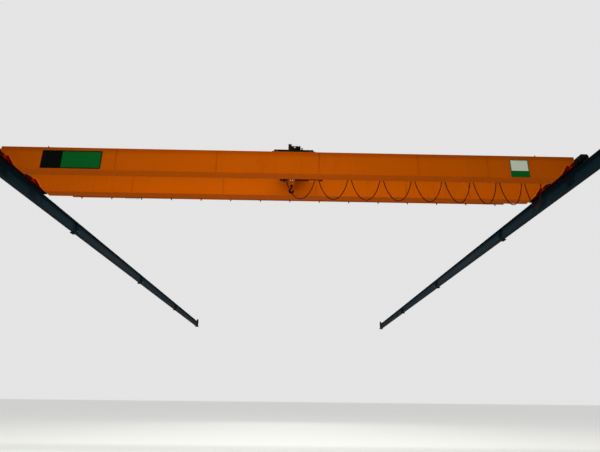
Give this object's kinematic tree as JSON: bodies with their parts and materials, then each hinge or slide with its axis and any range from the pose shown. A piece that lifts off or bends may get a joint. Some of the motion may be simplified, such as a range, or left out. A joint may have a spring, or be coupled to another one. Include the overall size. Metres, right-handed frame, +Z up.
{
  "type": "double-girder overhead bridge crane with its runway",
  "caption": "Overhead travelling crane: two box girders on end trucks roll along two runway beams and carry a trolley with a wire-rope hoist, a hook block and a festoon cable.",
  "frame": {"origin": "underside of the first bearing plate of the left runway beam, at the plate's centre", "axes": "+X across the hall from the left rail to the right rail, +Y along the runway, +Z up"},
  "size_m": [17.32, 36.4, 1.823],
  "materials": {
    "runway_paint": "satin",
    "rail_steel": "worn",
    "girder_paint": "gloss",
    "truck_paint": "gloss",
    "wheel_steel": "worn",
    "motor_paint": "satin",
    "buffer_rubber": "matte",
    "channel_zinc": "galvanized",
    "cabinet_paint": "satin",
    "trolley_paint": "satin",
    "hoist_paint": "satin",
    "rope_steel": "greased",
    "block_paint": "satin",
    "sheave_steel": "machined",
    "hook_steel": "forged",
    "carrier_plastic": "matte",
    "cable_jacket": "satin"
  },
  "bodies": {
    "runway": {"runway_beams_left": "runway_paint", "runway_beams_right": "runway_paint", "runway_rail_left": "rail_steel", "runway_rail_right": "rail_steel", "bearing_plates": "runway_paint", "runway_stops": "truck_paint"},
    "bridge": {"girder_front": "girder_paint", "girder_rear": "girder_paint", "truck_left": "truck_paint", "truck_right": "truck_paint", "wheel_blocks": "trolley_paint", "bridge_wheels": "wheel_steel", "bridge_drives": "motor_paint", "bridge_buffers": "buffer_rubber", "trolley_rails": "rail_steel", "trolley_stops": "truck_paint", "festoon_rail": "channel_zinc", "festoon_brackets": "girder_paint", "festoon_end_clamp": "channel_zinc", "pendant_rail": "girder_paint", "control_cabinet": "cabinet_paint"},
    "trolley": {"trolley_side_front": "trolley_paint", "trolley_side_rear": "trolley_paint", "trolley_crossbeams": "trolley_paint", "trolley_wheels": "wheel_steel", "trolley_buffers": "buffer_rubber", "trolley_drive": "trolley_paint", "trolley_control_box": "cabinet_paint", "tow_arm": "trolley_paint", "hoist_drum": "hoist_paint", "drum_bracket": "trolley_paint", "hoist_gearbox": "hoist_paint", "hoist_motor": "hoist_paint", "equalizer": "trolley_paint", "upper_rope": "rope_steel", "rope_falls": "rope_steel"},
    "hook_block": {"hook_block": "block_paint", "block_sheaves": "sheave_steel", "block_rope": "rope_steel"},
    "hook": {"hook": "hook_steel"},
    "festoon_1": {"carrier_1": "carrier_plastic", "cable_loop_1": "cable_jacket"},
    "festoon_2": {"carrier_2": "carrier_plastic", "cable_loop_2": "cable_jacket"},
    "festoon_3": {"carrier_3": "carrier_plastic", "cable_loop_3": "cable_jacket"},
    "festoon_4": {"carrier_4": "carrier_plastic", "cable_loop_4": "cable_jacket"},
    "festoon_5": {"carrier_5": "carrier_plastic", "cable_loop_5": "cable_jacket"},
    "festoon_6": {"carrier_6": "carrier_plastic", "cable_loop_6": "cable_jacket"},
    "festoon_7": {"carrier_7": "carrier_plastic", "cable_loop_7": "cable_jacket"},
    "festoon_8": {"carrier_8": "carrier_plastic", "cable_loop_8": "cable_jacket"},
    "festoon_tow": {"tow_carrier": "carrier_plastic", "cable_loop_9": "cable_jacket"}
  },
  "joints": [
    {"name": "bridge_travel", "type": "slide", "parent": "runway", "child": "bridge", "axis": [0, 1, 0], "range_m": [-2.985, 29.855]},
    {"name": "trolley_travel", "type": "slide", "parent": "bridge", "child": "trolley", "axis": [1, 0, 0], "range_m": [-6.7, 6.7]},
    {"name": "hoist", "type": "slide", "parent": "trolley", "child": "hook_block", "axis": [0, 0, -1], "range_m": [0, 7], "deforming": ["rope_falls"]},
    {"name": "hook_swivel", "type": "hinge", "parent": "hook_block", "child": "hook", "pos_m": [8.55, 4.565, 0.315], "axis": [0, 0, 1], "continuous": true},
    {"name": "cable_carrier_1", "type": "slide", "parent": "bridge", "child": "festoon_1", "axis": [1, 0, 0], "range_m": [-0.48177, 0.48177], "deforming": ["cable_loop_1"]},
    {"name": "cable_carrier_2", "type": "slide", "parent": "festoon_1", "child": "festoon_2", "axis": [1, 0, 0], "range_m": [-0.66695, 0.66695], "deforming": ["cable_loop_2"]},
    {"name": "cable_carrier_3", "type": "slide", "parent": "festoon_2", "child": "festoon_3", "axis": [1, 0, 0], "range_m": [-0.68378, 0.68378], "deforming": ["cable_loop_3"]},
    {"name": "cable_carrier_4", "type": "slide", "parent": "festoon_3", "child": "festoon_4", "axis": [1, 0, 0], "range_m": [-0.7427, 0.7427], "deforming": ["cable_loop_4"]},
    {"name": "cable_carrier_5", "type": "slide", "parent": "festoon_4", "child": "festoon_5", "axis": [1, 0, 0], "range_m": [-0.79321, 0.79321], "deforming": ["cable_loop_5"]},
    {"name": "cable_carrier_6", "type": "slide", "parent": "festoon_5", "child": "festoon_6", "axis": [1, 0, 0], "range_m": [-0.81846, 0.81846], "deforming": ["cable_loop_6"]},
    {"name": "cable_carrier_7", "type": "slide", "parent": "festoon_6", "child": "festoon_7", "axis": [1, 0, 0], "range_m": [-0.83529, 0.83529], "deforming": ["cable_loop_7"]},
    {"name": "cable_carrier_8", "type": "slide", "parent": "festoon_7", "child": "festoon_8", "axis": [1, 0, 0], "range_m": [-0.85213, 0.85213], "deforming": ["cable_loop_8"]},
    {"name": "cable_carrier_9", "type": "slide", "parent": "festoon_8", "child": "festoon_tow", "axis": [1, 0, 0], "range_m": [-0.84371, 0.84371], "deforming": ["cable_loop_9"]}
  ],
  "couplings": [
    {"joint": "cable_carrier_1", "follows": "trolley_travel", "ratio": 0.071608},
    {"joint": "cable_carrier_2", "follows": "trolley_travel", "ratio": 0.099246},
    {"joint": "cable_carrier_3", "follows": "trolley_travel", "ratio": 0.10176},
    {"joint": "cable_carrier_4", "follows": "trolley_travel", "ratio": 0.11055},
    {"joint": "cable_carrier_5", "follows": "trolley_travel", "ratio": 0.11809},
    {"joint": "cable_carrier_6", "follows": "trolley_travel", "ratio": 0.12186},
    {"joint": "cable_carrier_7", "follows": "trolley_travel", "ratio": 0.12437},
    {"joint": "cable_carrier_8", "follows": "trolley_travel", "ratio": 0.12688},
    {"joint": "cable_carrier_9", "follows": "trolley_travel", "ratio": 0.12563}
  ]
}
